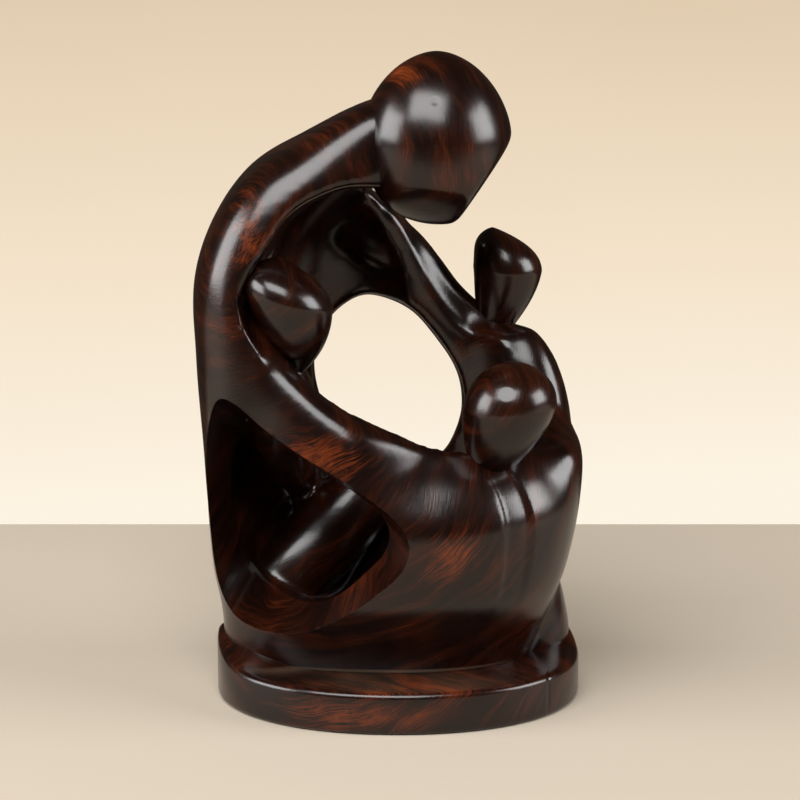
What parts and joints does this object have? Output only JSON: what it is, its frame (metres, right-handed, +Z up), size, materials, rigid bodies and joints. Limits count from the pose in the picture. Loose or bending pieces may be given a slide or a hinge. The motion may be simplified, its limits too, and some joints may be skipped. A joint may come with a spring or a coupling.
{
  "type": "mother and children figurine",
  "caption": "Carved wooden figurine of a mother bending over her children, their bodies joined in an open ring on an oval plinth.",
  "frame": {"origin": "centre of the oval plinth's flat underside", "axes": "+Z up; +X towards the viewer's right, where the third child stands; +Y to the back, so the open side of the embrace faces -Y"},
  "size_m": [0.1184, 0.091, 0.1988],
  "materials": {
    "dark_wood": "polished"
  },
  "bodies": {
    "root": {"mother_and_children": "dark_wood"}
  },
  "joints": []
}
